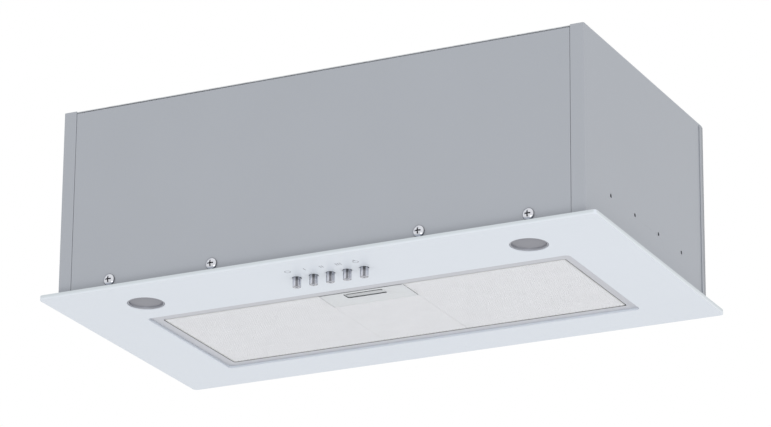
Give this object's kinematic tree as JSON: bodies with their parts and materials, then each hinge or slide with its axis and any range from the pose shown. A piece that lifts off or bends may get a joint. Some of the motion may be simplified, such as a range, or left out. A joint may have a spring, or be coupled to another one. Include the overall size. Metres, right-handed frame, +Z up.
{
  "type": "under-cabinet range hood",
  "caption": "Built-in under-cabinet extractor hood: grey steel box, white glass panel, mesh filter with a sprung latch, recessed lamps, push buttons and a ducted centrifugal blower.",
  "frame": {"origin": "middle of the panel's outline on the seating face, which is the upper face of the glass", "axes": "X to the right as seen from the front, Y to the back wall, Z up"},
  "size_m": [0.525, 0.285, 0.2307],
  "materials": {
    "white_glass": "polished white-backed safety glass",
    "bond_tape": "foam tape",
    "shell_paint": "silver-grey satin paint",
    "galvanised": "satin zinc-coated steel",
    "frame_steel": "light-grey satin paint",
    "screw_chrome": "bright plated",
    "zinc": "zinc plated",
    "duct_plastic": "black polypropylene",
    "scroll_plastic": "grey polypropylene",
    "impeller_plastic": "dark grey nylon",
    "motor_steel": "motor casing, satin",
    "rubber_black": "soft black rubber",
    "capacitor_case": "white plastic case",
    "box_plastic": "white ABS",
    "terminal_nylon": "natural nylon",
    "gland_nylon": "light-grey nylon",
    "driver_case": "white polycarbonate",
    "switch_plastic": "black nylon",
    "button_chrome": "satin silver plated",
    "spring_steel": "bright spring wire",
    "lamp_alloy": "satin die-cast aluminium",
    "lens_frosted": "frosted polycarbonate",
    "led_board": "white solder mask with yellow emitters",
    "filter_mesh": "expanded aluminium mesh",
    "latch_plastic": "silver-grey ABS",
    "wire_pvc": "black PVC sleeve"
  },
  "bodies": {
    "hood": {"glass_panel": "white_glass", "glass_bond": "bond_tape", "base_frame": "frame_steel", "side_panel_left": "shell_paint", "side_panel_right": "shell_paint", "front_plate": "shell_paint", "back_plate": "shell_paint", "top_plate": "galvanised", "panel_screws": "screw_chrome", "shell_rivets": "zinc", "outlet_collar": "duct_plastic", "collar_screws": "zinc", "flap_pin": "zinc", "scroll_wrapper": "scroll_plastic", "scroll_cheek_left": "scroll_plastic", "scroll_cheek_right": "scroll_plastic", "blower_screws": "zinc", "motor_can": "motor_steel", "motor_bracket": "galvanised", "motor_grommets": "rubber_black", "run_capacitor": "capacitor_case", "capacitor_clip": "galvanised", "terminal_box": "box_plastic", "terminal_lid": "box_plastic", "terminal_block": "terminal_nylon", "lid_screws": "zinc", "cord_gland": "gland_nylon", "gland_nut": "gland_nylon", "switch_housing": "switch_plastic", "switch_screws": "zinc", "button_springs": "spring_steel", "lamp_housing_left": "lamp_alloy", "lamp_housing_right": "lamp_alloy", "lamp_lens_left": "lens_frosted", "lamp_lens_right": "lens_frosted", "lamp_board_left": "led_board", "lamp_board_right": "led_board", "lamp_driver": "driver_case", "wiring_loom": "wire_pvc"},
    "button_off": {"button_off": "button_chrome"},
    "button_speed_1": {"button_speed_1": "button_chrome"},
    "button_speed_2": {"button_speed_2": "button_chrome"},
    "button_speed_3": {"button_speed_3": "button_chrome"},
    "button_light": {"button_light": "button_chrome"},
    "wheel": {"impeller": "impeller_plastic", "motor_shaft": "zinc", "impeller_nut": "zinc"},
    "flap_left": {"flap_left": "duct_plastic"},
    "flap_right": {"flap_right": "duct_plastic"},
    "filter": {"filter_tray": "filter_mesh", "filter_core": "filter_mesh", "filter_backing": "filter_mesh", "latch_housing": "latch_plastic", "latch_springs": "spring_steel"},
    "latch": {"filter_latch": "latch_plastic"}
  },
  "joints": [
    {"name": "button_off_press", "type": "slide", "parent": "hood", "child": "button_off", "axis": [0, 0, 1], "range_m": [0, 0.003], "stiffness_N_per_m": 300, "springref_m": -0.002, "deforming": ["button_springs"]},
    {"name": "button_speed_1_press", "type": "slide", "parent": "hood", "child": "button_speed_1", "axis": [0, 0, 1], "range_m": [0, 0.003], "stiffness_N_per_m": 300, "springref_m": -0.002, "deforming": ["button_springs"]},
    {"name": "button_speed_2_press", "type": "slide", "parent": "hood", "child": "button_speed_2", "axis": [0, 0, 1], "range_m": [0, 0.003], "stiffness_N_per_m": 300, "springref_m": -0.002, "deforming": ["button_springs"]},
    {"name": "button_speed_3_press", "type": "slide", "parent": "hood", "child": "button_speed_3", "axis": [0, 0, 1], "range_m": [0, 0.003], "stiffness_N_per_m": 300, "springref_m": -0.002, "deforming": ["button_springs"]},
    {"name": "button_light_press", "type": "slide", "parent": "hood", "child": "button_light", "axis": [0, 0, 1], "range_m": [0, 0.003], "stiffness_N_per_m": 300, "springref_m": -0.002, "deforming": ["button_springs"]},
    {"name": "impeller_spin", "type": "hinge", "parent": "hood", "child": "wheel", "pos_m": [0, -0.02, 0.096], "axis": [1, 0, 0], "continuous": true},
    {"name": "flap_left_swing", "type": "hinge", "parent": "hood", "child": "flap_left", "pos_m": [0, 0.036, 0.1862], "axis": [0, 1, 0], "range_deg": [0, 75]},
    {"name": "flap_right_swing", "type": "hinge", "parent": "hood", "child": "flap_right", "pos_m": [0, 0.036, 0.1862], "axis": [0, -1, 0], "range_deg": [0, 75]},
    {"name": "filter_swing", "type": "hinge", "parent": "hood", "child": "filter", "pos_m": [0, 0.0883, -0.002], "axis": [1, 0, 0], "range_deg": [0, 80]},
    {"name": "latch_slide", "type": "slide", "parent": "filter", "child": "latch", "axis": [0, 1, 0], "range_m": [0, 0.005], "stiffness_N_per_m": 400, "springref_m": -0.002, "deforming": ["latch_springs"]}
  ]
}
